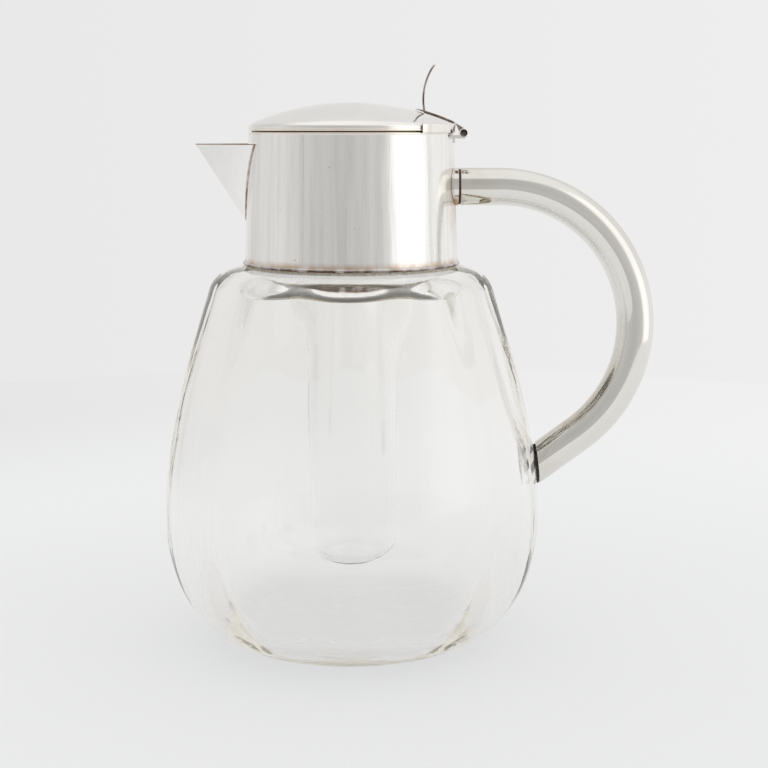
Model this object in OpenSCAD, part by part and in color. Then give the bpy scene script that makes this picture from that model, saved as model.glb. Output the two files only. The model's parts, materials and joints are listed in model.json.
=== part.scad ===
// Thick glass jug with a silver-plated collar, beak spout, hinged lid, tube handle
// and a hanging glass tube for ice. Millimetres, +Z up, +X towards the handle.
// The origin is on the jug's axis, on the surface that it stands on.

/* [Glass body] */
// Radius of the flat disc that the jug stands on
foot_r = 42.7; // [36:0.1:52]
// Largest outer radius of the belly
belly_r = 81.8; // [66:0.1:99]
// Height of the widest point of the belly
belly_z = 54.2; // [45:0.1:66]
// Outer radius of the shoulder
shoulder_r = 61.2; // [58:0.1:66]
// Height of the shoulder
shoulder_z = 154.3; // [128:0.1:186]
// Rise from the shoulder to the crown that carries the collar
crown_rise = 8.9; // [7:0.1:11]
// How far the foot runs out flat before it turns up
foot_flare = 21.1; // [15:0.1:26]
// How long the belly stays upright below its widest point
belly_hold_low = 34.1; // [25:0.1:38]
// How long the belly stays upright above its widest point
belly_hold_high = 39.3; // [30:0.1:50]
// How long the shoulder keeps its slope before it turns in
shoulder_hold = 21.1; // [14:0.1:28]
// How long the crown stays flat before it turns down
crown_hold = 15.7; // [10:0.1:18]
// Wall thickness, half way between a rib and a panel
wall_t = 8; // [5:0.1:9]
// Depth of the optic wave at the belly, from the wall's mean
belly_wave = 0.4; // [0:0.1:1.8]
// Depth of the optic wave at the foot and at the shoulder
end_wave = 1.1; // [0:0.1:1.8]
// Number of optic ribs inside the wall
rib_count = 10; // [6:1:12]
// Thickness of the glass floor
floor_t = 9.5; // [6:0.1:12]
// Wall thickness of the neck inside the collar
neck_wall = 5.5; // [4:0.1:7]
// Height of the neck above the crown
neck_h = 17; // [12:0.1:17.5]

/* [Collar] */
// Outer radius of the collar at its foot
collar_r = 45.7; // [44:0.1:54.9]
// How much smaller the collar's mouth is than its foot, in radius
collar_taper = 2.2; // [0:0.1:3]
// Height of the collar
collar_h = 55.8; // [50:0.1:67]
// Thickness of the collar's sheet
sheet_t = 0.9; // [0.7:0.1:1.4]
// Height of the joint between the crown and the collar's foot
joint_h = 1.2; // [0.8:0.1:2]
// Radial width of the plaster bed between the neck and the collar
plaster_w = 3.8; // [2.5:0.1:5]
// Radius of the half-round wire round the collar's foot
foot_wire_r = 0.8; // [0.5:0.1:1.2]
// How far the flat wires of the mouth and the lid stand proud
edge_proud = 0.2; // [0.1:0.05:0.3]
// Height of the flat wires of the mouth and the lid
edge_h = 0.9; // [0.6:0.1:1.3]

/* [Spout] */
// Reach of the beak's tip from the jug's axis
beak_reach = 66.5; // [60:0.1:80]
// Drop of the beak's level top edge below the collar's mouth
beak_drop = 4.8; // [3:0.1:8]
// Height of the beak where it meets the collar
beak_h = 33.2; // [27:0.1:34]
// Half the beak's width at its top edge, on the collar
beak_half_w = 20; // [16:0.1:24]
// Thickness of the beak's sheet
beak_t = 0.8; // [0.6:0.1:1.2]
// Ledge that the collar's opening leaves inside the beak
beak_ledge = 1.5; // [1:0.1:2.5]

/* [Lid] */
// Height of the gap between the collar's mouth and the closed lid
lid_gap = 0.6; // [0.4:0.1:1]
// Height of the upright band at the lid's edge
band_h = 2.8; // [2.2:0.1:4]
// Rise of the dome above its band
dome_rise = 9.2; // [7:0.1:12]
// Thickness of the lid's sheet
lid_t = 0.9; // [0.7:0.1:1.2]
// Depth to which the lid's bezel drops into the mouth
bezel_drop = 2.4; // [1.5:0.1:3]
// Thickness of the bezel's sheet
bezel_t = 0.7; // [0.5:0.1:1]
// Clearance all round between the bezel and the mouth
bezel_gap = 0.45; // [0.35:0.05:0.8]
// Thickness of the crescent plate at the back of the dome
plate_t = 0.35; // [0.3:0.05:0.6]
// Half the crescent plate's width from side to side
plate_half_w = 33; // [24:0.1:36]
// Distance of the crescent plate's front edge from the axis
plate_front = 30.8; // [28:0.1:34]

/* [Hinge and thumb lever] */
// Distance of the hinge's axis outside the collar's mouth
hinge_out = 4.1; // [3.8:0.1:6]
// Drop of the hinge's axis below the collar's mouth
hinge_drop = 0.3; // [0:0.1:0.5]
// Outer radius of the hinge's knuckles
knuckle_r = 1.9; // [1.6:0.05:2.3]
// Radius of the hinge pin
pin_r = 0.9; // [0.6:0.05:1.1]
// Radial clearance between the pin and its knuckles
pin_gap = 0.05; // [0.02:0.01:0.1]
// Length of the row of knuckles
hinge_w = 12; // [10:0.1:16]
// Length of the lid's own knuckle in the middle
lid_knuckle_w = 5.6; // [4:0.1:7]
// Gap between one knuckle and the next
knuckle_gap = 0.35; // [0.3:0.05:0.6]
// Depth of the pin's ends inside the knuckles
pin_recess = 0.7; // [0:0.1:1]
// Thickness of the strap that ties the lid to its knuckle
strap_t = 0.65; // [0.5:0.05:1]
// Width of the strap on the dome
strap_w = 10; // [8:0.1:14]
// Length of the strap in front of the thumb lever
strap_nose = 3.8; // [2:0.1:5]
// Height of the leaf that carries the fixed knuckles
leaf_h = 3.2; // [2.5:0.1:12]
// Thickness of the leaf
leaf_t = 0.7; // [0.5:0.1:1]
// Distance of the thumb lever's foot from the jug's axis
lever_x = 31; // [26:0.1:34]
// Radius of the thumb lever's curve
lever_bend_r = 24; // [18:0.1:30]
// Angle by which the lever's foot leans back
lever_lean = 11.3; // [0:0.1:15]
// Angle of the lever's tip from upright
lever_tip_angle = 39; // [25:0.1:50]
// Thickness of the thumb lever
lever_t = 0.8; // [0.6:0.1:1.4]
// Width of the thumb lever at its foot
lever_foot_w = 8; // [6:0.1:9]
// Width of the thumb lever at its widest
lever_top_w = 13; // [9:0.1:16]

/* [Handle] */
// Outer radius of the handle's tube
tube_r = 8; // [6.5:0.1:9.6]
// Wall thickness of the handle's tube
tube_wall = 1; // [0.8:0.1:1.5]
// Drop of the handle's upper end below the collar's mouth
handle_drop = 22.9; // [18:0.1:28]
// How far the handle stands out beyond the belly
handle_out = 49.1; // [42:0.1:59]
// Radius of the handle's bend, at the middle of the tube
bend_r = 59.8; // [50:0.1:64]
// Angle through which the handle bends
bend_angle = 143.5; // [135:0.5:150]
// Thickness of the boss on the collar behind the handle
boss_t = 1.3; // [0.6:0.1:2.5]
// Thickness of the washer between the boss and the handle
washer_t = 0.9; // [0.5:0.1:2]
// How far the washer and the buffer keep inside the tube's edge
pad_inset = 0.5; // [0.2:0.1:1]
// Thickness of the rubber buffer between the handle and the glass
buffer_t = 1; // [0.6:0.1:2]
// Length of the plugs inside the tube's ends
plug_len = 9; // [6:0.1:14]
// Radius of the screw that holds the handle
screw_r = 1.5; // [1.2:0.1:2]
// Radius of the screw's head
screw_head_r = 2.9; // [2.4:0.1:3.5]
// Height of the screw's head
screw_head_h = 1.7; // [1.2:0.1:2.5]
// Clearance round the screw in the collar
screw_gap = 0.2; // [0.1:0.05:0.4]
// Half the side of the plate behind the screw
backing_half = 6; // [5:0.1:7]
// Thickness of the plate behind the screw
backing_t = 1; // [0.8:0.1:1.5]

/* [Ice insert] */
// Outer radius of the ice tube
tube_out_r = 20.5; // [17:0.1:23]
// Outer radius of the ice tube where it has widened at its top
tube_top_r = 22.3; // [20:0.1:25]
// Wall thickness of the ice tube
tube_glass_t = 2; // [1.5:0.1:3]
// Height of the ice tube's bottom above the table
tube_bottom_z = 35.5; // [20:0.1:50]
// Outer corner radius of the ice tube's bottom
tube_corner_r = 8; // [5:0.1:10]
// Length of the ice tube's wider neck
tube_neck_h = 62; // [45:0.1:70]
// Length over which the ice tube widens
tube_flare_h = 34; // [20:0.1:45]
// How far the ice tube's flange stands out
flange_w = 4.7; // [3:0.1:6]
// Height of the ice tube's flange
flange_h = 3; // [2:0.1:4]
// Clearance round the ice tube in its carrier
carrier_gap = 1.2; // [0.8:0.1:2]
// Thickness of the carrier plate
carrier_t = 1; // [0.8:0.1:1.5]
// Thickness of the soft ring under the flange
gasket_t = 0.8; // [0.5:0.1:1.2]
// Drop of the carrier's ledge below the collar's mouth
ledge_drop = 8.2; // [7.5:0.1:9]
// Radial width of the ledge
ledge_w = 3; // [2:0.1:4]
// Clearance between the carrier and the collar
carrier_edge_gap = 0.3; // [0.2:0.05:0.5]

/* [Hidden] */
$fn = 96;

// Numbers of points on the curves
curve_steps = 14;
cavity_steps = 9;
cavity_round = 60;
far = 200;
// The handle's lower straight is drawn down by this much from the bend
draw_step = 0.05;

// Heights and radii that follow from the driving sizes
crown_z = shoulder_z + crown_rise;
collar_z = crown_z + joint_h;
mouth_z = collar_z + collar_h;
mouth_r = collar_r - collar_taper;
neck_r = collar_r - sheet_t - plaster_w;
neck_in_r = neck_r - neck_wall;
crown_r = neck_r + 2;
neck_top_z = crown_z + neck_h;
ledge_z = mouth_z - ledge_drop;
carrier_z = ledge_z + carrier_t;
flange_z = carrier_z + gasket_t;
carrier_hole_r = tube_top_r + carrier_gap;
flange_r = tube_top_r + flange_w;
beak_top_z = mouth_z - beak_drop;
beak_root_z = beak_top_z - beak_h;
lid_z = mouth_z + lid_gap;
band_z = lid_z + band_h;
dome_r = (mouth_r * mouth_r + dome_rise * dome_rise) / (2 * dome_rise);
dome_centre_z = band_z + dome_rise - dome_r;
hinge_x = mouth_r + hinge_out;
hinge_z = mouth_z - hinge_drop;
plate_in_r = mouth_r + edge_proud + 0.3;
plate_out_r = plate_in_r + plate_t;
handle_z = mouth_z - handle_drop;
bend_x = belly_r + handle_out - bend_r - tube_r;
bend_z = handle_z - bend_r;
tube_in_r = tube_r - tube_wall;

function collar_out(z) = collar_r - collar_taper * (z - collar_z) / collar_h;
function collar_in(z) = collar_out(z) - sheet_t;
function bezier(p, t) = pow(1 - t, 3) * p[0] + 3 * t * pow(1 - t, 2) * p[1]
  + 3 * t * t * (1 - t) * p[2] + pow(t, 3) * p[3];
// A curve's points, without its last one, which starts the next curve
function curve(p, steps) = [for (i = [0 : steps - 1]) bezier(p, i / steps)];
function arc(centre, r, from, to, steps) =
  [for (i = [0 : steps]) let (a = from + (to - from) * i / steps) centre + r * [cos(a), sin(a)]];

// Outside of the glass, from the foot to the crown
foot_curve = [
  [foot_r, 0], [foot_r + foot_flare, 0],
  [belly_r, belly_z - belly_hold_low], [belly_r, belly_z]
];
flank_curve = [
  [belly_r, belly_z], [belly_r, belly_z + belly_hold_high],
  [shoulder_r + 0.3 * shoulder_hold, shoulder_z - shoulder_hold], [shoulder_r, shoulder_z]
];
crown_curve = [
  [shoulder_r, shoulder_z], [shoulder_r - 0.4, shoulder_z + 1.2],
  [crown_r + crown_hold, crown_z], [crown_r, crown_z]
];
glass_outline = concat(
  curve(foot_curve, curve_steps), curve(flank_curve, curve_steps), curve(crown_curve, curve_steps),
  [[crown_r, crown_z]]
);
function glass_r(z) = lookup(z, [for (p = glass_outline) [p[1], p[0]]]);

// Inside of the glass, half way between the ribs and the panels
cavity_r = belly_r - wall_t;
cavity_shoulder = [shoulder_r - wall_t + 0.4, shoulder_z - 2.2];
floor_curve = [
  [foot_r + 1.3, floor_t], [foot_r + 0.85 * foot_flare, floor_t],
  [cavity_r, belly_z - 0.78 * belly_hold_low], [cavity_r, belly_z]
];
inner_flank_curve = [
  [cavity_r, belly_z], [cavity_r, belly_z + belly_hold_high],
  cavity_shoulder + shoulder_hold * [0.3, -1], cavity_shoulder
];
inner_crown_curve = [
  cavity_shoulder, cavity_shoulder + [-1.2, 4.4],
  [neck_in_r + 6.5, crown_z - wall_t + 1.2], [neck_in_r, crown_z + 1]
];
cavity_outline = concat(
  curve(floor_curve, cavity_steps), curve(inner_flank_curve, cavity_steps),
  curve(inner_crown_curve, cavity_steps), [[neck_in_r, crown_z + 1], [neck_in_r, neck_top_z + 1]]
);
cavity_rings = len(cavity_outline);
// The wave is strong at the foot and at the shoulder, faint at the belly, and dies out where the neck begins
function wave_at(z) = lookup(z, [
  [0, end_wave], [3 * floor_t, end_wave], [belly_z + 10, belly_wave], [cavity_shoulder[1] - 40, belly_wave],
  [cavity_shoulder[1], end_wave], [crown_z + 1, 0]
]);

// Plan direction and half angle of the folded beak
fold_run = [beak_reach - collar_out(beak_root_z), beak_h];
fold_angle = atan2(fold_run[0], fold_run[1]);
beak_depth = beak_h * sin(fold_angle)
  + (collar_out(beak_root_z) - sqrt(pow(collar_out(beak_top_z), 2) - pow(beak_half_w, 2))) * cos(fold_angle);
beak_half_angle = atan2(beak_half_w, beak_depth);

// Lower end of the handle: length of the straight that runs from the bend to the glass
fall = 180 - bend_angle;
bend_end = [bend_x + bend_r * sin(bend_angle), bend_z + bend_r * cos(bend_angle)];
function straight_to_glass(length, tries) = tries == 0 ? length
  : straight_to_glass((bend_end[0] - glass_r(bend_end[1] - length * sin(fall)) - buffer_t) / cos(fall), tries - 1);
low_len = straight_to_glass(20, 8);
low_end = bend_end - low_len * [cos(fall), sin(fall)];
glass_lean = atan2(glass_r(low_end[1] - tube_r) - glass_r(low_end[1] + tube_r), 2 * tube_r);
handle_x = collar_out(handle_z) + boss_t + washer_t;

// Strap: angle from upright at which it leaves the dome, then a tangent to the knuckle
strap_out_r = dome_r + plate_t + strap_t;
strap_leave = asin((plate_out_r - 1.7) / strap_out_r);
strap_corner = [strap_out_r * sin(strap_leave), dome_centre_z + strap_out_r * cos(strap_leave)];
to_hinge = [hinge_x, hinge_z] - strap_corner;
strap_fall = atan2(-to_hinge[1], to_hinge[0]) - asin(knuckle_r / norm(to_hinge));
strap_touch = [hinge_x, hinge_z] + knuckle_r * [sin(strap_fall), cos(strap_fall)];
lever_centre = [
  lever_x - lever_bend_r * (1 - cos(lever_lean)) + lever_bend_r,
  dome_centre_z + sqrt(pow(strap_out_r, 2) - pow(lever_x, 2)) + lever_bend_r * sin(lever_lean)
];

module ring(inner_r, outer_r, z, h) {
  translate([0, 0, z]) difference() {
    cylinder(r = outer_r, h = h);
    translate([0, 0, -1]) cylinder(r = inner_r, h = h + 2);
  }
}

// A cylinder along +X from x, at a height
module rod_x(r, x, length, z) {
  translate([x, 0, z]) rotate([0, 90, 0]) cylinder(r = r, h = length);
}

// A cylinder along Y on the hinge's axis
module rod_hinge(r, y, length) {
  translate([hinge_x, y, hinge_z]) rotate([-90, 0, 0]) cylinder(r = r, h = length);
}

// A side outline in X and Z, given a width along Y
module side_sheet(outline, w) {
  rotate([90, 0, 0]) translate([0, 0, -w / 2]) linear_extrude(w) polygon(outline);
}

// Everything inside the collar's outer surface
module collar_core() {
  rotate_extrude() polygon([
    [0, collar_z - far], [collar_r, collar_z - far], [collar_r, collar_z],
    [mouth_r, mouth_z], [mouth_r, mouth_z + far], [0, mouth_z + far]
  ]);
}

// A shell that follows the collar's taper between two heights
module collar_shell(offset_in, offset_out, z0, z1) {
  rotate_extrude() polygon([
    [collar_out(z0) + offset_in, z0], [collar_out(z0) + offset_out, z0],
    [collar_out(z1) + offset_out, z1], [collar_out(z1) + offset_in, z1]
  ]);
}

module glass_outside() {
  rotate_extrude() polygon(concat(
    [[0, 0]], glass_outline,
    [[neck_r + 1, crown_z + 0.3], [neck_r, crown_z + 1.3], [neck_r, neck_top_z], [0, neck_top_z]]
  ));
}

// The waved hollow, a mesh of rings from the floor to above the neck
module cavity() {
  rings = [for (p = cavity_outline) [for (k = [0 : cavity_round - 1])
    let (a = 360 * k / cavity_round, r = p[0] - wave_at(p[1]) * cos(rib_count * a))
    [r * cos(a), r * sin(a), p[1]]
  ]];
  floor_centre = cavity_rings * cavity_round;
  top_centre = floor_centre + 1;
  points = concat([for (ring = rings) each ring], [[0, 0, floor_t], [0, 0, neck_top_z + 1]]);
  sides = [for (i = [0 : cavity_rings - 2], k = [0 : cavity_round - 1])
    let (a = i * cavity_round + k, b = i * cavity_round + (k + 1) % cavity_round)
    each [[a, b + cavity_round, b], [a, a + cavity_round, b + cavity_round]]
  ];
  floor_fan = [for (k = [0 : cavity_round - 1]) [floor_centre, k, (k + 1) % cavity_round]];
  top_ring = floor_centre - cavity_round;
  top_fan = [for (k = [0 : cavity_round - 1]) [top_centre, top_ring + (k + 1) % cavity_round, top_ring + k]];
  polyhedron(points, concat(sides, floor_fan, top_fan));
}

module glass_body() {
  color([0.88, 0.93, 0.92, 0.45]) difference() {
    glass_outside();
    cavity();
  }
}

// Plaster sets the glass neck in the collar and fills the joint under the collar's foot
module plaster_bed() {
  color("ivory") rotate_extrude() polygon([
    [crown_r, crown_z], [collar_r - 0.5, crown_z], [collar_r - 0.5, collar_z],
    [collar_in(collar_z), collar_z], [collar_in(neck_top_z - 1), neck_top_z - 1],
    [neck_r, neck_top_z - 1], [neck_r, crown_z + 1.3], [neck_r + 1, crown_z + 0.3]
  ]);
}

// The V of the beak, swept along its fold; inset moves both walls inwards
module beak_wedge(inset) {
  deep = 60;
  half = deep * tan(beak_half_angle);
  translate([-collar_out(beak_root_z), 0, beak_root_z]) rotate([0, -fold_angle, 0])
    translate([inset / sin(beak_half_angle), 0, -far / 2])
      linear_extrude(far) polygon([[0, 0], [deep, half], [deep, -half]]);
}

module spout() {
  color("silver") intersection() {
    difference() {
      beak_wedge(0);
      beak_wedge(beak_t);
      collar_core();
    }
    translate([-2 * far, -far, beak_root_z - 5]) cube([2 * far - mouth_r / 2, 2 * far, beak_h + 5]);
  }
}

module collar() {
  color("silver") difference() {
    collar_shell(-sheet_t, 0, collar_z, mouth_z);
    intersection() {
      beak_wedge(beak_t + beak_ledge);
      translate([-2 * far, -far, neck_top_z + 1]) cube([2 * far, 2 * far, ledge_z - carrier_t - 1 - neck_top_z - 1]);
    }
    rod_x(screw_r + screw_gap, 30, 30, handle_z);
  }
}

module collar_foot_wire() {
  color("silver") difference() {
    rotate_extrude() translate([collar_r, collar_z + foot_wire_r]) circle(r = foot_wire_r);
    collar_core();
  }
}

module collar_rim_wire() {
  color("silver") collar_shell(0, edge_proud, mouth_z - edge_h, mouth_z);
}

// Curved leaf on the collar, with a web that reaches under the fixed knuckles
module hinge_leaf() {
  web_z = hinge_z - knuckle_r - 0.4;
  color("silver") difference() {
    union() {
      intersection() {
        collar_shell(0, leaf_t, web_z + 1.4 - leaf_h, web_z + 1.4);
        translate([0, -hinge_w / 2, web_z - far / 2]) cube([far, hinge_w, far]);
      }
      difference() {
        translate([mouth_r - 2, -hinge_w / 2, web_z]) cube([hinge_out + 2.6, hinge_w, 1.4]);
        collar_core();
      }
    }
    rod_hinge(knuckle_r, -far / 2, far);
    rod_hinge(knuckle_r + 0.4, -lid_knuckle_w / 2 - knuckle_gap, lid_knuckle_w + 2 * knuckle_gap);
    translate([hinge_x - knuckle_r, -lid_knuckle_w / 2 - knuckle_gap, web_z - 1])
      cube([far, lid_knuckle_w + 2 * knuckle_gap, 4]);
  }
}

module knuckle(y, w) {
  difference() {
    rod_hinge(knuckle_r, y, w);
    rod_hinge(pin_r + pin_gap, y - 1, w + 2);
  }
}

module collar_knuckles() {
  inner = lid_knuckle_w / 2 + knuckle_gap;
  color("silver") {
    knuckle(inner, hinge_w / 2 - inner);
    knuckle(-hinge_w / 2, hinge_w / 2 - inner);
  }
}

module lid_knuckle() {
  color("silver") knuckle(-lid_knuckle_w / 2, lid_knuckle_w);
}

module hinge_pin() {
  color("dimgray") rod_hinge(pin_r, -hinge_w / 2 + pin_recess, hinge_w - 2 * pin_recess);
}

// The space on the glass's side of the handle's slanting lower end
module glass_side(gap) {
  translate([low_end[0], 0, low_end[1]]) rotate([0, -glass_lean, 0])
    translate([gap - 60, -60, -60]) cube([60, 120, 120]);
}

// A round bar along the lower straight, from behind its end to beyond it
module low_bar(r, before, beyond) {
  translate([low_end[0], 0, low_end[1]]) rotate([0, 90 - fall, 0])
    translate([0, 0, -beyond]) cylinder(r = r - draw_step, h = before + beyond);
}

// The sector that the handle's bend fills, seen from the side
module bend_sector() {
  translate([bend_x, 0, bend_z]) rotate([90, 0, 0]) translate([0, 0, -far / 2]) linear_extrude(far)
    polygon([[0, 0], for (i = [0 : 3]) far * [sin(bend_angle * i / 3), cos(bend_angle * i / 3)]]);
}

// The handle's line as a round bar: level, round the bend, then straight down to the glass
module handle_path(r, overrun) {
  intersection() {
    translate([bend_x, 0, bend_z]) rotate([90, 0, 0]) rotate_extrude() translate([bend_r, 0]) circle(r = r);
    bend_sector();
  }
  difference() {
    union() {
      rod_x(r, handle_x - overrun, bend_x - handle_x + overrun + 1, handle_z);
      low_bar(r, low_len + 1, 12);
    }
    bend_sector();
  }
}

module handle_tube() {
  color("silver") difference() {
    handle_path(tube_r, 0);
    handle_path(tube_in_r, 1);
    glass_side(0);
  }
}

module handle_plug() {
  color("gray") difference() {
    rod_x(tube_in_r, handle_x, plug_len, handle_z);
    rod_x(screw_r, handle_x - 1, plug_len - 1, handle_z);
  }
}

module handle_boss() {
  color("silver") difference() {
    rod_x(tube_r, handle_x - washer_t - boss_t - 5, boss_t + 5, handle_z);
    collar_core();
    rod_x(screw_r + screw_gap, 30, 30, handle_z);
  }
}

module handle_washer() {
  color("black") difference() {
    rod_x(tube_r - pad_inset, handle_x - washer_t, washer_t, handle_z);
    rod_x(screw_r + screw_gap, 30, 30, handle_z);
  }
}

module handle_backing_plate() {
  color("gray") difference() {
    intersection() {
      collar_shell(-sheet_t - backing_t, -sheet_t, handle_z - backing_half, handle_z + backing_half);
      translate([0, -backing_half, handle_z - far / 2]) cube([far, 2 * backing_half, far]);
    }
    rod_x(screw_r + screw_gap, 30, 30, handle_z);
  }
}

module handle_screw() {
  seat = sqrt(pow(collar_in(handle_z + screw_head_r) - backing_t, 2) - pow(screw_head_r, 2));
  color("gray") {
    rod_x(screw_head_r, seat - screw_head_h, screw_head_h, handle_z);
    rod_x(screw_r, seat, handle_x + plug_len - 2.5 - seat, handle_z);
  }
}

// Rubber bung in the handle's lower end, with a head that rests against the glass
module handle_buffer() {
  color("black") {
    difference() {
      low_bar(tube_in_r, plug_len, 12);
      glass_side(0);
    }
    difference() {
      intersection() {
        low_bar(tube_r - pad_inset, 12, 12);
        glass_side(0);
      }
      glass_outside();
    }
  }
}

module carrier_ledge() {
  color("silver") rotate_extrude() polygon([
    [collar_in(ledge_z) - ledge_w, ledge_z - carrier_t], [collar_in(ledge_z - carrier_t), ledge_z - carrier_t],
    [collar_in(ledge_z), ledge_z], [collar_in(ledge_z) - ledge_w, ledge_z]
  ]);
}

module insert_carrier() {
  color("silver") ring(carrier_hole_r, collar_in(carrier_z) - carrier_edge_gap, ledge_z, carrier_t);
}

module insert_gasket() {
  color("whitesmoke") ring(carrier_hole_r, flange_r, carrier_z, gasket_t);
}

// Ice tube: rounded bottom, plain tube, widened neck and a flange to hang by
module ice_insert() {
  inner_corner = tube_corner_r - tube_glass_t;
  top_z = flange_z + flange_h;
  widen_z = top_z - tube_neck_h;
  straight_z = widen_z - tube_flare_h;
  outside = concat(
    [[0, tube_bottom_z]],
    arc([tube_out_r - tube_corner_r, tube_bottom_z + tube_corner_r], tube_corner_r, -90, 0, 10),
    curve([[tube_out_r, straight_z], [tube_out_r, straight_z + tube_flare_h / 2],
      [tube_top_r, widen_z - tube_flare_h / 2], [tube_top_r, widen_z]], 8),
    [[tube_top_r, widen_z], [tube_top_r, flange_z], [flange_r, flange_z], [flange_r, top_z]]
  );
  inside = concat(
    [[tube_top_r - tube_glass_t, top_z], [tube_top_r - tube_glass_t, widen_z]],
    curve([[tube_top_r - tube_glass_t, widen_z], [tube_top_r - tube_glass_t, widen_z - tube_flare_h / 2],
      [tube_out_r - tube_glass_t, straight_z + tube_flare_h / 2], [tube_out_r - tube_glass_t, straight_z]], 8),
    [[tube_out_r - tube_glass_t, straight_z]],
    arc([tube_out_r - tube_corner_r, tube_bottom_z + tube_corner_r], inner_corner, 0, -90, 8),
    [[0, tube_bottom_z + tube_glass_t]]
  );
  color([0.9, 0.94, 0.93, 0.5]) rotate_extrude() polygon(concat(outside, inside));
}

module dome_ball(r) {
  translate([0, 0, dome_centre_z]) sphere(r = r);
}

module lid() {
  color("silver") {
    difference() {
      intersection() {
        dome_ball(dome_r);
        translate([0, 0, lid_z]) cylinder(r = mouth_r, h = far);
      }
      intersection() {
        dome_ball(dome_r - lid_t);
        translate([0, 0, lid_z - 1]) cylinder(r = mouth_r - lid_t, h = far);
      }
    }
  }
}

module lid_rim_wire() {
  color("silver") ring(mouth_r, mouth_r + edge_proud, lid_z, edge_h);
}

// Angle ring under the lid: its upright leg drops into the collar's mouth
module lid_bezel() {
  leg_r = mouth_r - sheet_t - bezel_gap;
  color("silver") rotate_extrude() polygon([
    [leg_r - bezel_t, mouth_z - bezel_drop], [leg_r, mouth_z - bezel_drop], [leg_r, lid_z + 0.5],
    [mouth_r - lid_t, lid_z + 0.5], [mouth_r - lid_t, lid_z + 0.5 + bezel_t], [leg_r - bezel_t, lid_z + 0.5 + bezel_t]
  ]);
}

// Crescent that stiffens the back of the dome and turns down over the lid's edge
module lid_hinge_plate() {
  side_x = sqrt(pow(plate_out_r, 2) - pow(plate_half_w, 2));
  bow_r = (pow(plate_half_w, 2) + pow(plate_front - side_x, 2)) / (2 * (plate_front - side_x));
  color("silver") intersection() {
    union() {
      difference() {
        intersection() {
          dome_ball(dome_r + plate_t);
          translate([0, 0, lid_z]) cylinder(r = plate_out_r, h = far);
        }
        dome_ball(dome_r);
        translate([0, 0, band_z - far]) cylinder(r = plate_in_r, h = far);
      }
      difference() {
        ring(plate_in_r, plate_out_r, hinge_z + 0.1, band_z - hinge_z);
        difference() {
          translate([0, 0, band_z - 1]) cylinder(r = far, h = far);
          dome_ball(dome_r + plate_t);
        }
      }
    }
    difference() {
      translate([0, -far / 2, 0]) cube([far, far, 2 * far]);
      translate([plate_front - bow_r, 0, 0]) cylinder(r = bow_r, h = 2 * far, $fn = 180);
    }
  }
}

// Strap on the dome: a rounded tongue that narrows to the lid's knuckle
module hinge_strap() {
  nose = strap_w / 2;
  neck_x = hinge_x - knuckle_r - 1.5;
  nose_angle = asin((lever_x - strap_nose) / strap_out_r);
  under_r = dome_r + plate_t;
  centre = [0, dome_centre_z];
  root_angle = asin((plate_out_r + 0.1) / under_r);
  color("silver") difference() {
    intersection() {
      side_sheet(concat(
        arc(centre, strap_out_r, 90 - nose_angle, 90 - strap_leave, 8), [strap_touch, [hinge_x, hinge_z]],
        [[hinge_x - knuckle_r, hinge_z + 0.4]],
        arc(centre, under_r, 90 - root_angle, 90 - nose_angle, 8)
      ), strap_w);
      linear_extrude(2 * far) union() {
        translate([lever_x - strap_nose + nose, 0]) circle(r = nose);
        translate([lever_x - strap_nose + nose, -nose]) square([neck_x - lever_x + strap_nose - nose, strap_w]);
        translate([neck_x - 1, -lid_knuckle_w / 2]) square([far, lid_knuckle_w]);
      }
    }
    rod_hinge(knuckle_r, -far / 2, far);
  }
}

// Thin curved leaf that widens upwards and has rounded corners
module thumb_lever() {
  tip_z = lever_centre[1] + lever_bend_r * sin(lever_tip_angle);
  foot_z = lever_centre[1] - lever_bend_r * sin(lever_lean);
  corner = 4;
  foot_angle = lever_lean + 2;
  color("silver") difference() {
    intersection() {
      side_sheet(concat(
        arc(lever_centre, lever_bend_r + lever_t / 2, 180 + foot_angle, 180 - lever_tip_angle, 16),
        arc(lever_centre, lever_bend_r - lever_t / 2, 180 - lever_tip_angle, 180 + foot_angle, 16)
      ), lever_top_w);
      rotate([90, 0, 90]) linear_extrude(far) union() {
        polygon([
          [-lever_foot_w / 2, foot_z - 2], [lever_foot_w / 2, foot_z - 2],
          [lever_top_w / 2, tip_z - corner], [-lever_top_w / 2, tip_z - corner]
        ]);
        for (side = [-1, 1]) translate([side * (lever_top_w / 2 - corner), tip_z - corner]) circle(r = corner);
        translate([corner - lever_top_w / 2, tip_z - corner]) square([lever_top_w - 2 * corner, corner]);
      }
    }
    translate([0, -far / 2, dome_centre_z]) rotate([-90, 0, 0]) cylinder(r = strap_out_r, h = far);
  }
}

glass_body();
plaster_bed();
collar();
collar_foot_wire();
collar_rim_wire();
spout();
hinge_leaf();
collar_knuckles();
hinge_pin();
handle_tube();
handle_plug();
handle_boss();
handle_washer();
handle_screw();
handle_backing_plate();
handle_buffer();
carrier_ledge();
insert_carrier();
insert_gasket();
ice_insert();
lid();
lid_rim_wire();
lid_bezel();
lid_hinge_plate();
hinge_strap();
lid_knuckle();
thumb_lever();
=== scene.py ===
# %% [markdown]
# # A glass jug with a silver-plated collar, lid and handle
# The jug's sizes and its moving bodies come from a packed design model. Here every piece that is seen gets
# its finished shape and its material. The design model keeps the sizes: a new piece takes its place from the
# box of the design piece that it stands for, so nothing is fitted by eye.

# %% Load the fixed frame
import json
import math

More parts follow.
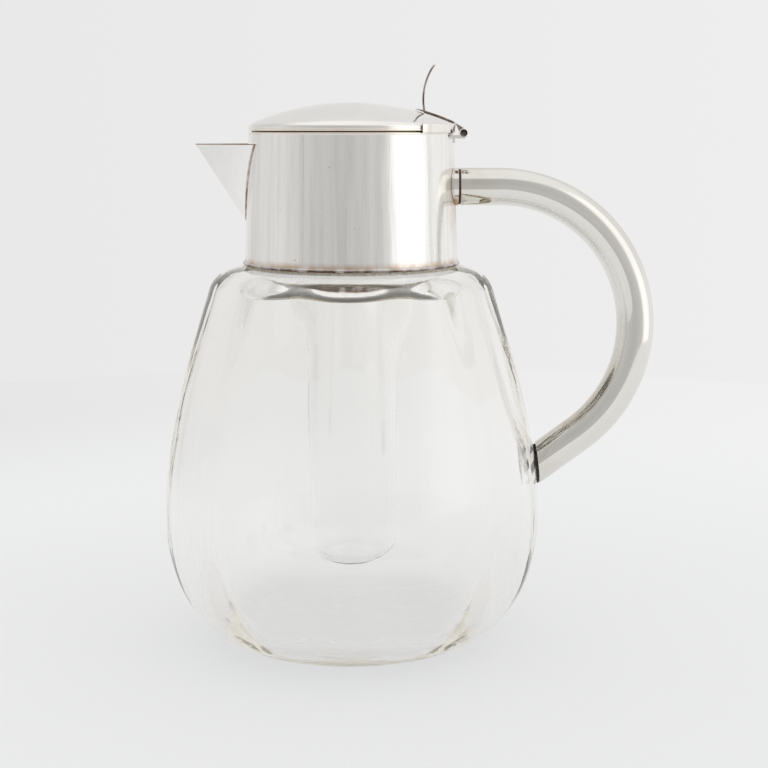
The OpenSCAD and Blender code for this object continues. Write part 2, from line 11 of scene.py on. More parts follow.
import bpy
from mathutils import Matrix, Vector

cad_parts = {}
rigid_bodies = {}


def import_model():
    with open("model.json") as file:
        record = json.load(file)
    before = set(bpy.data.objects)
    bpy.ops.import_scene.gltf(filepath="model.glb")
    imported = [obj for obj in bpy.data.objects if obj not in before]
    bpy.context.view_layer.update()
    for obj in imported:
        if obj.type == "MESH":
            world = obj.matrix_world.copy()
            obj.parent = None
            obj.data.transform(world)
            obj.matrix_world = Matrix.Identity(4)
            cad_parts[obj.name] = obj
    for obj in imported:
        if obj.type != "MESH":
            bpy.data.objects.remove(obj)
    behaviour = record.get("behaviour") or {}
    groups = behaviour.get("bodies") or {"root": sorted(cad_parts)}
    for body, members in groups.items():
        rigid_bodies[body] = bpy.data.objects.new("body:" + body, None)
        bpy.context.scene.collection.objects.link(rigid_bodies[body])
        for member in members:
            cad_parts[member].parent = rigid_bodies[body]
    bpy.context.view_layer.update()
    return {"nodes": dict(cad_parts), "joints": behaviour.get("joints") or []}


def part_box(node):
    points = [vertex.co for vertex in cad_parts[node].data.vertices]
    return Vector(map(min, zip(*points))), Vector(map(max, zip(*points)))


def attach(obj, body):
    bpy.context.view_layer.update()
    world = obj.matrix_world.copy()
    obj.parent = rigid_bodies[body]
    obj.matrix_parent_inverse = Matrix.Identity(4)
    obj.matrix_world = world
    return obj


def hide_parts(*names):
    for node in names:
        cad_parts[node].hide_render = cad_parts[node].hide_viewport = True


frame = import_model()
MM = 0.001

# %% [markdown]
# ## Sizes that the finished pieces share
# All radii and heights are read from the design model's boxes. A box gives a ring's outer radius, its foot
# and its top, and that is enough to place everything that is turned on a lathe.

# %% Read the sizes from the frame
def top(node):
    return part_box(node)[1].z


def foot(node):
    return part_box(node)[0].z


def radius(node):
    """Half a piece's width across the jug, from front to back."""
    return (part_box(node)[1].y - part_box(node)[0].y) / 2


collar_foot_z, mouth_z = foot("collar"), top("collar")
collar_foot_r = radius("collar")
mouth_r = radius("collar_rim_wire") - 0.2 * MM
lid_edge_z, lid_top_z = foot("lid"), top("lid")
hinge = Vector(next(j for j in frame["joints"] if j["name"] == "lid_hinge")["pos_m"])
handle_z = (top("handle_plug") + foot("handle_plug")) / 2
print("collar", collar_foot_r, "to", mouth_r, "mouth at", mouth_z, "hinge", hinge)

# %% [markdown]
# ## The camera
# A long lens from a little above the lid, looking down by nine and a half degrees, keeps the collar's sides
# upright and shows the ring of the foot as a flat ellipse. A wider lens from closer would swell the belly.

# %% Place the camera
camera_data = bpy.data.cameras.new("camera")
camera_data.lens = 70.7
camera_data.sensor_width = 36
camera = bpy.data.objects.new("camera", camera_data)
camera.location = (0.014, -0.650, 0.2207)
camera.rotation_euler = (math.radians(90 - 9.52), 0, 0)
bpy.context.scene.collection.objects.link(camera)
bpy.context.scene.camera = camera

# %% [markdown]
# ## Writing materials as sums
# A material is a small net of nodes. Written node by node it's long and hard to read, so one class wraps a
# socket: adding, multiplying or raising it adds the Math node that does so. Every other node comes from one
# method, which sets the node's own settings first and then fills its inputs.

# %% A socket that can be used in sums
class Wire:
    def __init__(self, net, socket):
        self.net = net
        self.socket = socket

    def sum_with(self, operation, other, swap=False):
        pair = (other, self) if swap else (self, other)
        return self.net.add("ShaderNodeMath", {"operation": operation}, {0: pair[0], 1: pair[1]})

    def __add__(self, other):
        return self.sum_with("ADD", other)

    def __sub__(self, other):
        return self.sum_with("SUBTRACT", other)

    def __rsub__(self, other):
        return self.sum_with("SUBTRACT", other, swap=True)

    def __mul__(self, other):
        return self.sum_with("MULTIPLY", other)

    def __truediv__(self, other):
        return self.sum_with("DIVIDE", other)

    def __pow__(self, other):
        return self.sum_with("POWER", other)

    __radd__ = __add__
    __rmul__ = __mul__

    def at_most(self, other):
        return self.sum_with("MINIMUM", other)

    def size(self):
        return self.net.add("ShaderNodeMath", {"operation": "ABSOLUTE"}, {0: self})

    def ease(self, low, high, start=0.0, end=1.0):
        """Runs smoothly from start to end while this value goes from low to high."""
        settings = {"interpolation_type": "SMOOTHSTEP"}
        values = {"Value": self, "From Min": low, "From Max": high, "To Min": start, "To Max": end}
        return self.net.add("ShaderNodeMapRange", settings, values)


class Net:
    """The nodes of one material, or of the world."""

    def __init__(self, tree):
        self.tree = tree

    def add(self, kind, settings=None, values=None, out=0):
        node = self.tree.nodes.new(kind)
        for name, value in (settings or {}).items():
            setattr(node, name, value)
        for name, value in (values or {}).items():
            if isinstance(value, Wire):
                self.tree.links.new(value.socket, node.inputs[name])
            else:
                node.inputs[name].default_value = value
        return Wire(self, node.outputs[out])

    def mix_colour(self, factor, first, second):
        """Colours go through a Mix node, because a Math node would turn them grey."""
        settings = {"data_type": "RGBA"}
        return self.add("ShaderNodeMix", settings, {0: factor, 6: first, 7: second}, out=2)

    def axes(self, vector):
        """The three numbers of a vector."""
        split = self.add("ShaderNodeSeparateXYZ", {}, {0: vector})
        return [Wire(self, output) for output in split.socket.node.outputs]

    def place(self):
        """Object coordinates, which are the jug's own frame in metres."""
        return self.add("ShaderNodeTexCoord", out=3)

    def noise(self, stretch, detail=2.0, shift=(0, 0, 0), roughness=0.5):
        """Noise on Object coordinates, in features per metre along each axis."""
        moved = {"Vector": self.place(), "Scale": stretch, "Location": shift}
        scaled = self.add("ShaderNodeMapping", {}, moved)
        values = {"Vector": scaled, "Scale": 1.0, "Detail": detail, "Roughness": roughness}
        return self.add("ShaderNodeTexNoise", {}, values)

    def near(self, point, reach):
        """One at a point of the piece, easing down to nothing at the reach."""
        settings = {"operation": "DISTANCE"}
        gap = self.add("ShaderNodeVectorMath", settings, {0: self.place(), 1: point}, out=1)
        return gap.ease(0.0, reach, 1.0, 0.0)


class Finish(Net):
    """A material with one Principled shader, whose constants are set straight on its sockets."""

    def __init__(self, name, **constants):
        self.material = bpy.data.materials.new(name)
        self.material.use_nodes = True
        super().__init__(self.material.node_tree)
        self.shader = self.tree.nodes["Principled BSDF"]
        for socket, value in constants.items():
            self.shader.inputs[socket.replace("_", " ")].default_value = value

    def feed(self, socket, value):
        self.tree.links.new(value.socket, self.shader.inputs[socket])

    def bump(self, height, distance):
        self.feed("Normal", self.add("ShaderNodeBump", {}, {"Height": height, "Distance": distance}))

    def put_out(self, socket, value):
        """Feeds the material's output."""
        output = next(node for node in self.tree.nodes if node.type == "OUTPUT_MATERIAL")
        self.tree.links.new(value.socket, output.inputs[socket])


# %% [markdown]
# ## Silver plate
# Polished silver has almost no colour of its own: it shows the studio, a little warmer. What tells it from
# chrome is the wear of the cloth, which leaves streaks along the way that it's wiped, and a warm tan tarnish
# where the cloth can't reach, along wires and seams. The streaks are a noise stretched along the wiping
# direction, which feeds a slight bump and greys the silver a little. The tarnish is a mask round chosen
# places, roughened by a noise so that its edge isn't a line. On a few pieces the same mask and its colour
# carry painted shade instead: in the gap under the lid, in the hinge's bores and on the hinge's side edges.

# %% Make a silver finish
SILVER = (0.955, 0.945, 0.925, 1)
WORN_SILVER = (0.82, 0.81, 0.765, 1)
STREAK_GREY = (0.70, 0.69, 0.68, 1)
TARNISH = (0.56, 0.38, 0.24, 1)
EVEN = (60, 60, 60)


def silver(
        name, streaks=EVEN, depth=0.012 * MM, film_and_shade=None, amount=0.6,
        base=SILVER, streak_tone=0.10, dirt_and_shade=TARNISH):
    """streaks is the noise's stretch per metre. The mask function works out tarnish from the net, and on some
    pieces painted shade; the last colour is given to both.
    """
    finish = Finish(name, Metallic=1.0)
    streak = finish.noise(streaks, detail=5.0, roughness=0.7)
    cloud = finish.noise((22, 22, 22), detail=2.0)
    hairline = finish.noise((1900, 1900, 1900), detail=1.0)
    stain = finish.noise((170, 170, 170), detail=2.0, roughness=0.5)
    haze = cloud.ease(0.5, 0.85, 0.0, 0.06)
    if film_and_shade is not None:
        haze = haze + film_and_shade(finish) * stain.ease(0.25, 0.75, 0.35, 1.0) * amount
    haze = haze.at_most(1.0)
    wiped = finish.mix_colour(streak.ease(0.35, 0.75, 0.0, streak_tone), base, STREAK_GREY)
    finish.feed("Base Color", finish.mix_colour(haze, wiped, dirt_and_shade))
    finish.feed("Roughness", 0.03 + cloud * 0.05 + haze * 0.25 + streak.ease(0.4, 0.8) * 0.05)
    finish.bump(streak + hairline * 0.015, depth)
    return finish.material


# %% [markdown]
# ## Thick glass
# The body is clear glass. Real blown glass is never quite even: a slow swell in its skin, and fine upright
# lines where it was drawn, bend what is seen through it, so soft noises feed a small bump. Light that runs a
# long way inside the wall comes out tan, so the body also absorbs a little light by the length of its path.
# The wall's own shape, modelled below, does the rest, since light is bent by geometry.

# %% Make the glass finishes
def glass(name, tint, swell, swell_depth, haze=0.0, drawn=None, tone=None):
    """swell and drawn are the stretches of two noises in the skin, and tone colours the light by its path."""
    finish = Finish(name, Base_Color=tint, IOR=1.5, Transmission_Weight=1.0, Roughness=haze)
    fine_swell = tuple(4 * stretch for stretch in swell)
    skin = finish.noise(swell, detail=1.0) + finish.noise(fine_swell, detail=1.0, shift=(3, 1, 2)) * 0.15
    if drawn:
        skin = skin + finish.noise(drawn, detail=2.0, shift=(1, 5, 0)) * 0.35
    finish.bump(skin, swell_depth)
    if tone:
        absorbed = finish.add("ShaderNodeVolumeAbsorption", {}, {"Color": tone, "Density": 6.0})
        finish.put_out("Volume", absorbed)
    return finish.material


BODY_TINT, TUBE_TINT = (0.998, 0.999, 0.997, 1), (0.992, 0.992, 0.988, 1)
LONG_PATH_TAN = (0.84, 0.80, 0.68, 1)
jug_glass = glass("jug_glass", BODY_TINT, (28, 28, 14), 0.25 * MM, drawn=(110, 110, 5), tone=LONG_PATH_TAN)
tube_glass = glass("tube_glass", TUBE_TINT, (60, 60, 12), 0.08 * MM, haze=0.02)

# %% [markdown]
# ## Rubber, plaster, raw brass and the milky seal
# These are small or hidden, and each still gets what the real one shows: rubber is dull with a fine grain and
# browns with age, plaster is chalky and pitted, the unplated brass of the screw and its plate is scratched,
# and the soft seal is milky.

# %% Make the other finishes
def speckled(name, dark, light, grain, rough, depth, **constants):
    """Two tones of one stuff, in grains per metre, with its roughness and the depth of its grain."""
    finish = Finish(name, **constants)
    speck = finish.noise((grain, grain, grain), detail=5.0, roughness=0.6)
    finish.feed("Base Color", finish.mix_colour(speck.ease(0.3, 0.7), dark, light))
    finish.feed("Roughness", speck.ease(0.2, 0.8, rough - 0.08, rough + 0.08))
    finish.bump(speck, depth)
    return finish.material


rubber = speckled("black_rubber", (0.012, 0.011, 0.010, 1), (0.035, 0.033, 0.03, 1), 1500, 0.6, 0.03 * MM)
old_rubber = speckled("old_rubber", (0.030, 0.014, 0.008, 1), (0.10, 0.05, 0.028, 1), 1200, 0.6, 0.03 * MM)
plaster = speckled("plaster", (0.62, 0.55, 0.45, 1), (0.86, 0.82, 0.74, 1), 700, 0.85, 0.08 * MM)
seal = speckled("clear_gasket", (0.78, 0.78, 0.74, 1), (0.88, 0.88, 0.85, 1), 800, 0.45, 0.01 * MM)
raw_brass = speckled(
    "raw_brass", (0.50, 0.36, 0.16, 1), (0.80, 0.62, 0.34, 1), 900, 0.32, 0.01 * MM, Metallic=1.0)
pin_brass = speckled(
    "pin_brass", (0.05, 0.04, 0.03, 1), (0.22, 0.17, 0.12, 1), 1200, 0.45, 0.01 * MM, Metallic=1.0)

# %% [markdown]
# ## Turning on a lathe
# Most of the jug is turned. The outline of one side is drawn as a chain of edges, one extrude at a time, and
# the spin tool carries it once round the axis. Merging the doubles closes the seam and the poles, and then
# the faces are turned outwards.

# %% Helpers for modelling
def deselect():
    if bpy.context.object and bpy.context.object.mode != "OBJECT":
        bpy.ops.object.mode_set(mode="OBJECT")
    bpy.ops.object.select_all(action="DESELECT")


def chain(name, points):
    """A chain of edges through points, left selected in edit mode."""
    deselect()
    bpy.ops.mesh.primitive_plane_add(size=MM, location=(0, 0, 0))
    piece = bpy.context.object
    piece.name = name
    bpy.ops.object.mode_set(mode="EDIT")
    bpy.ops.mesh.merge(type="CENTER")
    bpy.ops.transform.translate(value=points[0])
    for here, there in zip(points, points[1:]):
        step = Vector(there) - Vector(here)
        bpy.ops.mesh.extrude_region_move(TRANSFORM_OT_translate={"value": step})
    bpy.ops.mesh.select_all(action="SELECT")
    return piece


def close_up(merge=0.0005 * MM):
    """Merges doubles and turns the faces outwards, in edit mode, and goes back to object mode."""
    bpy.ops.mesh.select_all(action="SELECT")
    bpy.ops.mesh.remove_doubles(threshold=merge)
    bpy.ops.mesh.normals_make_consistent(inside=False)
    bpy.ops.object.mode_set(mode="OBJECT")


def lathe(name, outline, steps=256):
    """Turns an outline of (radius, height) points once round the jug's axis."""
    points = [(r, 0, z) for r, z in outline]
    if outline[0] != outline[-1] and outline[0][0] > 0:
        points.append(points[0])
    piece = chain(name, points)
    bpy.ops.mesh.spin(steps=steps, angle=2 * math.pi, center=(0, 0, 0), axis=(0, 0, 1))
    close_up()
    return piece


def pick(*pieces):
    """Selects pieces and nothing else, the first of them active."""
    deselect()
    for piece in pieces:
        piece.select_set(True)
    bpy.context.view_layer.objects.active = pieces[0]


def modify(piece, kind, **settings):
    """Adds a modifier, sets it and applies it."""
    pick(piece)
    modifier = piece.modifiers.new(kind.lower(), kind)
    for name, value in settings.items():
        setattr(modifier, name, value)
    bpy.ops.object.modifier_apply(modifier=modifier.name)
    return piece


def cut(piece, tool, operation="DIFFERENCE"):
    """A boolean that uses up its tool."""
    modify(piece, "BOOLEAN", object=tool, operation=operation, solver="EXACT")
    bpy.data.objects.remove(tool)
    return piece


def ease_edges(piece, width, angle, segments=3):
    """Bevels the edges that turn by more than an angle in degrees."""
    limits = {"limit_method": "ANGLE", "angle_limit": math.radians(angle)}
    modify(piece, "BEVEL", width=width, segments=segments, **limits)


def dress(piece, material):
    piece.data.materials.clear()
    piece.data.materials.append(material)


def finish_piece(piece, material, body, node, angle=35):
    """Smooths a finished piece, gives it its material and sets it in the frame in place of a design piece."""
    pick(piece)
    bpy.ops.object.shade_smooth_by_angle(angle=math.radians(angle))
    dress(piece, material)
    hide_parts(node)
    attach(piece, body)
    print(piece.name, len(piece.data.polygons), "faces")
    return piece


def bezier(points, steps):
    """Points along a cubic curve, without its last one."""
    found = []
    for i in range(steps):
        t = i / steps
        weights = ((1 - t) ** 3, 3 * t * (1 - t) ** 2, 3 * t * t * (1 - t), t**3)
        found.append(tuple(sum(w * p[k] for w, p in zip(weights, points)) for k in (0, 1)))
    return found


def arc(centre, r, start, end, steps):
    """Points along an arc, in degrees from the first axis."""
    found = []
    for i in range(steps + 1):
        angle = math.radians(start + (end - start) * i / steps)
        found.append((centre[0] + r * math.cos(angle), centre[1] + r * math.sin(angle)))
    return found


# %% [markdown]
# ## The glass body
# The outside is a plain surface of revolution. It's the inside that carries the ten optic ribs, as on glass
# that is blown in a ribbed mould and then turned smooth outside. So the wall is lathed as one closed outline,
# up the outside and down the inside, and afterwards every inner point is moved in or out by a wave that
# depends on its angle. The wave dies out in the neck and near the middle of the floor.

# %% Outline of the wall
crown_z = foot("plaster_bed")
neck_r = 41.0 * MM
neck_in_r = neck_r - 5.5 * MM
neck_top_z = top("glass_body")
belly_r = radius("glass_body")
foot_r, belly_z = 42.7 * MM, 54.2 * MM
shoulder_r, shoulder_z = 61.2 * MM, crown_z - 8.9 * MM
crown_r = neck_r + 2 * MM
wall, ribs = 8 * MM, 10
belly_wave, end_wave = 0.4 * MM, 1.1 * MM
floor_z = 9.5 * MM
inner_r = belly_r - wall
inner_shoulder = (shoulder_r - wall + 0.4 * MM, shoulder_z - 2.2 * MM)

outside = (
    [(0, 0)]
    + bezier([(foot_r, 0), (foot_r + 21.1 * MM, 0), (belly_r, belly_z - 34.1 * MM), (belly_r, belly_z)], 36)
    + bezier([
        (belly_r, belly_z), (belly_r, belly_z + 39.3 * MM),
        (shoulder_r + 6.33 * MM, shoulder_z - 21.1 * MM), (shoulder_r, shoulder_z)], 40)
    + bezier([
        (shoulder_r, shoulder_z), (shoulder_r - 0.4 * MM, shoulder_z + 1.2 * MM),
        (crown_r + 15.7 * MM, crown_z), (crown_r, crown_z)], 20)
    + [(crown_r, crown_z), (neck_r + 1 * MM, crown_z + 0.3 * MM), (neck_r, crown_z + 1.3 * MM)]
)
lip = arc((neck_r - 2 * MM, neck_top_z - 2 * MM), 2 * MM, 0, 90, 6)
lip += arc((neck_in_r + 2 * MM, neck_top_z - 2 * MM), 2 * MM, 90, 180, 6)
inside = (
    bezier([
        (foot_r + 1.3 * MM, floor_z), (foot_r + 17.9 * MM, floor_z),
        (inner_r, belly_z - 26.6 * MM), (inner_r, belly_z)], 36)
    + bezier([
        (inner_r, belly_z), (inner_r, belly_z + 39.3 * MM),
        (inner_shoulder[0] + 6.33 * MM, inner_shoulder[1] - 21.1 * MM), inner_shoulder], 40)
    + bezier([
        inner_shoulder, (inner_shoulder[0] - 1.2 * MM, inner_shoulder[1] + 4.4 * MM),
        (neck_in_r + 6.5 * MM, crown_z - wall + 1.2 * MM), (neck_in_r, crown_z + 1 * MM)], 24)
    + [(neck_in_r, crown_z + 1 * MM), (neck_in_r, crown_z + 3.5 * MM), (neck_in_r, crown_z + 8 * MM)]
)
floor = [(0, floor_z), (foot_r * 0.35, floor_z), (foot_r * 0.7, floor_z)]

# %% Turn the wall and press in the ribs
glass_body = lathe("jug_glass_body", outside + lip + inside[::-1] + floor[::-1], steps=240)


def between(table, z, beyond):
    """Reads a value from (height, value) rows, or gives the last argument above and below them."""
    for (z0, value0), (z1, value1) in zip(table, table[1:]):
        if z0 <= z <= z1 and z1 > z0:
            return value0 + (value1 - value0) * (z - z0) / (z1 - z0)
    return beyond


inner_profile = [(z, r) for r, z in inside]
wave_end = crown_z + 1 * MM
wave_steps = [
    (0, end_wave), (3 * floor_z, end_wave),
    (belly_z + 10 * MM, belly_wave), (inner_shoulder[1] - 40 * MM, belly_wave),
    (inner_shoulder[1], end_wave), (wave_end, 0.4 * end_wave), (wave_end + 5 * MM, 0)]
level_gap, side_gap, pole_r = 0.01 * MM, 0.2 * MM, 0.1 * MM
for vertex in glass_body.data.vertices:
    x, y, z = vertex.co
    r = math.hypot(x, y)
    is_floor = abs(z - floor_z) < level_gap
    mean = r if is_floor else between(inner_profile, z, None)
    if mean is None or abs(r - mean) > side_gap or z < floor_z - level_gap or r < pole_r:
        continue
    swell = between(wave_steps, z, 0) * math.cos(ribs * math.atan2(y, x))
    if is_floor:
        swell *= min(1, (r / foot_r) ** 2)
    vertex.co.x -= swell * x / r
    vertex.co.y -= swell * y / r
finish_piece(glass_body, jug_glass, "jug", "glass_body", angle=60)

# %% [markdown]
# ## The ice tube
# A tube with a flat foot and round corners that hangs in the drink. It widens where it passes the collar and
# ends in a flange, which rests on the gasket. It's turned on the lathe too, walls and flange in one outline.

# %% Turn the ice tube
tube_foot_z, tube_top_z = foot("ice_insert"), top("ice_insert")
tube_r, tube_top_r, flange_r, tube_wall = 20.5 * MM, 22.3 * MM, radius("ice_insert"), 2 * MM
corner = 6 * MM
flange_z = tube_top_z - 3 * MM
widen_z = tube_top_z - 62 * MM
straight_z = widen_z - 34 * MM
half = 17 * MM


def tube_side(shift):
    """The tube's side from the straight part to the widened one, moved in by shift."""
    low_r, high_r = tube_r - shift, tube_top_r - shift
    curve = [(low_r, straight_z), (low_r, straight_z + half), (high_r, widen_z - half), (high_r, widen_z)]
    return bezier(curve, 16) + [(high_r, widen_z)]


round_foot = (tube_r - corner, tube_foot_z + corner)
flange = arc((flange_r - 1 * MM, flange_z + 1 * MM), 1 * MM, -90, 0, 4)
flange += arc((flange_r - 1 * MM, tube_top_z - 1 * MM), 1 * MM, 0, 90, 4)
mouth = arc((tube_top_r - tube_wall + 1 * MM, tube_top_z - 1 * MM), 1 * MM, 90, 180, 4)
insert_outline = (
    [(0, tube_foot_z)] + arc(round_foot, corner, -90, 0, 16) + tube_side(0)
    + [(tube_top_r, flange_z)] + flange + mouth + tube_side(tube_wall)[::-1]
    + arc(round_foot, corner - tube_wall, 0, -90, 14) + [(0, tube_foot_z + tube_wall)]
)
ice_insert = lathe("ice_tube_glass", insert_outline, steps=160)
finish_piece(ice_insert, tube_glass, "ice_tube", "ice_insert", angle=50)

# %% [markdown]
# ## The collar
# A tapering tube of sheet with its edges eased. The opening into the beak is cut with a wedge, a little
# narrower than the beak, so that a ledge of sheet is left for the solder.

# %% Places on the collar's taper
sheet = 0.9 * MM
collar_h = mouth_z - collar_foot_z


def collar_r_at(z):
    return collar_foot_r + (mouth_r - collar_foot_r) * (z - collar_foot_z) / collar_h


beak_tip = Vector((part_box("spout")[0].x, 0, top("spout")))
beak_root = Vector((-collar_r_at(foot("spout")), 0, foot("spout")))
beak_half_w = radius("spout")
fold = beak_tip - beak_root
fold_angle = math.atan2(-fold.x, fold.z)
side_x = math.sqrt(collar_r_at(beak_tip.z) ** 2 - beak_half_w**2)
beak_depth = fold.z * math.sin(fold_angle) + (-beak_root.x - side_x) * math.cos(fold_angle)
beak_angle = math.atan2(beak_half_w, beak_depth)
print("beak folds at", round(math.degrees(fold_angle), 1), "degrees")


def beak_bar(name, inset, long=60 * MM, deep=45 * MM, wall=None):
    """A bar with the beak's V section along its fold: solid, or a folded sheet if it's given a wall."""
    start = inset / math.sin(beak_angle)
    spread = math.tan(beak_angle)
    outline = [(start, 0), (start + deep, deep * spread)]
    if wall is None:
        outline += [(start + deep, -deep * spread), (start, 0)]
    else:
        inner = start + wall / math.sin(beak_angle)
        outline += [(start + deep, (start + deep - inner) * spread), (inner, 0)]
        outline += [(x, -y) for x, y in outline[-2::-1]]
    fold_line, across = fold.normalized(), Vector((math.cos(fold_angle), 0, math.sin(fold_angle)))
    low = beak_root - fold_line * 12 * MM
    piece = chain(name, [low + across * x + Vector((0, y, 0)) for x, y in outline])
    bpy.ops.mesh.remove_doubles(threshold=0.001 * MM)
    bpy.ops.mesh.edge_face_add()
    bpy.ops.mesh.extrude_region_move(TRANSFORM_OT_translate={"value": fold_line * long})
    close_up()
    return piece


def slab(name, low, high):
    """A plain block between two corners, used only as a cutting tool."""
    deselect()
    centre = (Vector(low) + Vector(high)) / 2
    bpy.ops.mesh.primitive_cube_add(size=1, location=centre, scale=Vector(high) - Vector(low))
    tool = bpy.context.object
    tool.name = name
    bpy.ops.object.transform_apply(location=True, rotation=True, scale=True)
    return tool


# %% Turn the collar and cut its opening
ease = 0.3 * MM
side_heights = [collar_foot_z + collar_h * i / 12 for i in range(1, 12)]
collar_outline = (
    [(collar_foot_r - ease, collar_foot_z), (collar_foot_r, collar_foot_z + ease)]
    + [(collar_r_at(z), z) for z in side_heights]
    + [(mouth_r, mouth_z - ease), (mouth_r - ease, mouth_z), (mouth_r - sheet + ease, mouth_z)]
    + [(mouth_r - sheet, mouth_z - ease), (collar_foot_r - sheet, collar_foot_z)]
)
collar = lathe("collar_sheet", collar_outline)
opening = beak_bar("opening_tool", 2.3 * MM)
opening_low, opening_high = neck_top_z + 1 * MM, foot("carrier_ledge") - 1 * MM
cut(opening, slab("opening_range", (-0.2, -0.1, opening_low), (-0.01, 0.1, opening_high)), "INTERSECT")
cut(collar, opening)


SEAM_TURN = -24.5


def collar_film(net):
    """Tarnish by the foot wire, where the cloth can't pass, on the seam and in spots, and brown round the
    handle's root.
    """
    x, y, z = net.axes(net.place())
    at_foot = z.ease(collar_foot_z + 1.2 * MM, collar_foot_z + 4.5 * MM, 1.0, 0.0)
    at_handle = net.near((collar_r_at(handle_z), 0, handle_z - 6 * MM), 26 * MM) * 1.3
    turn = math.radians(SEAM_TURN)
    off_seam = (x * math.cos(turn) + y * math.sin(turn)).size()
    seam = off_seam.ease(0.06 * MM, 0.22 * MM, 0.5, 0.0) * y.ease(-10 * MM, 0, 1.0, 0.0)
    blots = net.noise((520, 520, 520), detail=1.0, shift=(4, 0, 9)).ease(0.76, 0.80) * 0.7
    return (at_foot + at_handle + seam + blots).at_most(1.0)


WIPED_UP = (300, 300, 4)
collar_silver = silver(
    "collar_silver", WIPED_UP, depth=0.07 * MM, film_and_shade=collar_film, amount=0.9, streak_tone=0.55)
finish_piece(collar, collar_silver, "jug", "collar")

# %% [markdown]
# ## Wires
# A half-round wire is soldered round the collar's foot, and thin flat ones round its mouth and round the lid.
# They are where the light breaks, so their profiles are round rather than square.

# %% Turn the wires
def bead_film(net):
    """Patches of light tarnish, as where a cloth rides over a bead."""
    return net.noise((90, 90, 90), detail=2.0, shift=(7, 7, 7)).ease(0.45, 0.65)


rim_silver = silver("rim_silver", film_and_shade=bead_film, amount=0.15, base=(0.94, 0.88, 0.80, 1))
foot_wire_r = 0.8 * MM
foot_wire_z = (foot("collar_foot_wire") + top("collar_foot_wire")) / 2
bead = arc((collar_foot_r, foot_wire_z), foot_wire_r, -90, 90, 12)
foot_wire = lathe("foot_wire", bead)


def foot_wire_darkening(net):
    """Dark brown on the foot wire, darker towards its bottom where it meets the glass."""
    return net.axes(net.place())[2].ease(foot_wire_z - 0.5 * MM, foot_wire_z + 0.8 * MM, 1.0, 0.35)


FOOT_BROWN = (0.16, 0.095, 0.06, 1)
foot_silver = silver("foot_silver", film_and_shade=foot_wire_darkening, amount=1.3, dirt_and_shade=FOOT_BROWN)
finish_piece(foot_wire, foot_silver, "jug", "collar_foot_wire")


def rim_wire(name, node, body):
    low, high, out = foot(node), top(node), radius(node)
    round_r = (high - low) / 2
    soft = 0.2 * MM
    face = [(soft * math.cos(t), round_r * math.sin(t)) for t in map(math.radians, range(-90, 91, 15))]
    outline = [(out - soft + x, low + round_r + z) for x, z in face]
    ring = lathe(name, [(out - 0.6 * MM, low)] + outline + [(out - 0.6 * MM, high)])
    finish_piece(ring, rim_silver, body, node)


rim_wire("mouth_wire", "collar_rim_wire", "jug")
rim_wire("lid_wire", "lid_rim_wire", "lid")

# %% [markdown]
# ## The beak
# The beak is one sheet folded to a V and soldered over the opening. The fold and the top edge are eased
# before the collar's cone is taken away from it, so that the bevel never meets the long curved seam.

# %% Fold the beak
beak = beak_bar("beak_sheet", 0, wall=0.8 * MM)
room = slab("beak_room", (-0.12, -0.06, foot("spout") - 8 * MM), (-mouth_r / 2, 0.06, beak_tip.z))
cut(beak, room, "INTERSECT")
ease_edges(beak, 0.28 * MM, angle=30)
cone = lathe("collar_cone", [
    (0, collar_foot_z - 20 * MM), (collar_foot_r, collar_foot_z - 20 * MM), (collar_foot_r, collar_foot_z),
    (mouth_r, mouth_z), (mouth_r, mouth_z + 20 * MM), (0, mouth_z + 20 * MM)])
cut(beak, cone)


def seam_film(net):
    """Tarnish where the beak's sides run into the collar, and along its top edge."""
    x, y, z = net.axes(net.place())
    taper = (collar_foot_r - mouth_r) / collar_h
    out = (x * x + y * y) ** 0.5 + (z - collar_foot_z) * taper
    solder = out.ease(collar_foot_r + 0.35 * MM, collar_foot_r + 0.8 * MM, 1.0, 0.0)
    return solder + z.ease(beak_tip.z - 0.5 * MM, beak_tip.z - 0.15 * MM) * 1.6


SOLDER_BROWN = (0.30, 0.19, 0.12, 1)
beak_silver = silver(
    "beak_silver", (300, 300, 12), film_and_shade=seam_film, amount=1.3, streak_tone=0.16, dirt_and_shade=SOLDER_BROWN)
finish_piece(beak, beak_silver, "jug", "spout")

# %% [markdown]
# ## The lid
# The lid is a spun dome on a short upright band, with a rolled edge between them. A crescent of thinner sheet
# strengthens it at the hinge and turns down over the rim there.

# %% Turn the dome
band_z = lid_edge_z + 2.8 * MM
rise = lid_top_z - band_z
dome_r = (mouth_r**2 + rise**2) / (2 * rise)
dome_z = lid_top_z - dome_r


def on_dome(r, out=0.0):
    return math.sqrt((dome_r + out) ** 2 - r**2) + dome_z


lid_t = 0.9 * MM
lid_outline = [(mouth_r - ease, lid_edge_z), (mouth_r, lid_edge_z + ease)]
roll = 3.2 * MM
lid_outline += bezier([
    (mouth_r, band_z - 1.3 * MM), (mouth_r, band_z - 0.2 * MM),
    (mouth_r - 0.4 * roll, on_dome(mouth_r - 0.4 * roll)), (mouth_r - roll, on_dome(mouth_r - roll))], 10)
lid_outline += [(r, on_dome(r)) for r in [(mouth_r - roll) * (1 - i / 40) for i in range(41)]]
inner_edge = mouth_r - lid_t
lid_outline += [(r, on_dome(r, -lid_t)) for r in [inner_edge * i / 30 for i in range(31)]]
lid_outline += [(inner_edge, lid_edge_z)]
lid = lathe("lid_dome", lid_outline)


def lid_film(net):
    """Tarnish round the foot of the hinge's strap and under the lid."""
    near_strap = net.near((36 * MM, 0, on_dome(36 * MM)), 24 * MM)
    z = net.axes(net.place())[2]
    return (near_strap * 0.5 + z.ease(band_z - 1 * MM, band_z + 0.6 * MM, 0.25, 0.0)).at_most(1.0)


lid_silver = silver("lid_silver", depth=0.006 * MM, film_and_shade=lid_film, amount=0.6)
finish_piece(lid, lid_silver, "lid", "lid")

